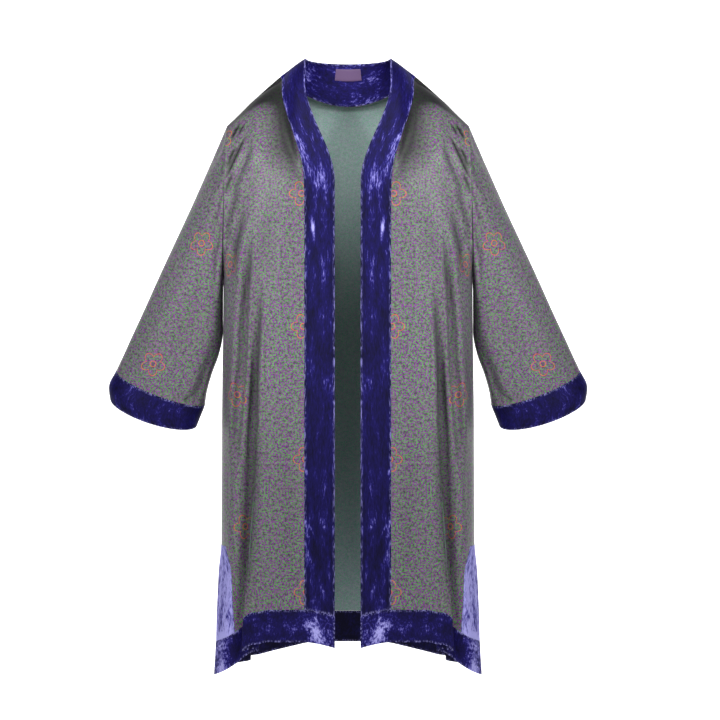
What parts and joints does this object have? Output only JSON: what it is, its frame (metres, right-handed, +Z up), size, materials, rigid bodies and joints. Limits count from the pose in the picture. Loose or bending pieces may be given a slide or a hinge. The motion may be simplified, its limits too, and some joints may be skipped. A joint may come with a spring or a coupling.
{
  "type": "kimono robe",
  "caption": "Open-front silk kimono robe with an all-over print and crushed-velvet bands at the neck, fronts, cuffs, hem and side slits, filled out as worn.",
  "frame": {"origin": "midway between the neck ends of the two shoulder seams, inside the neck, where the wearer's shoulders carry the robe", "axes": "+Z up, -Y towards the robe's open front, +X towards the wearer's left"},
  "size_m": [0.963, 0.2469, 1.226],
  "materials": {
    "silk": "printed satin",
    "velvet": "crushed velvet",
    "label": "woven"
  },
  "bodies": {
    "root": {"back": "silk", "front_left": "silk", "front_right": "silk", "sleeve_left": "silk", "sleeve_right": "silk", "front_band_left": "velvet", "front_band_right": "velvet", "front_hem_left": "velvet", "front_hem_right": "velvet", "front_slit_band_left": "velvet", "front_slit_band_right": "velvet", "back_hem": "velvet", "back_slit_band_left": "velvet", "back_slit_band_right": "velvet", "cuff_left": "velvet", "cuff_right": "velvet", "neckband_back": "velvet", "neck_label": "label"}
  },
  "joints": []
}
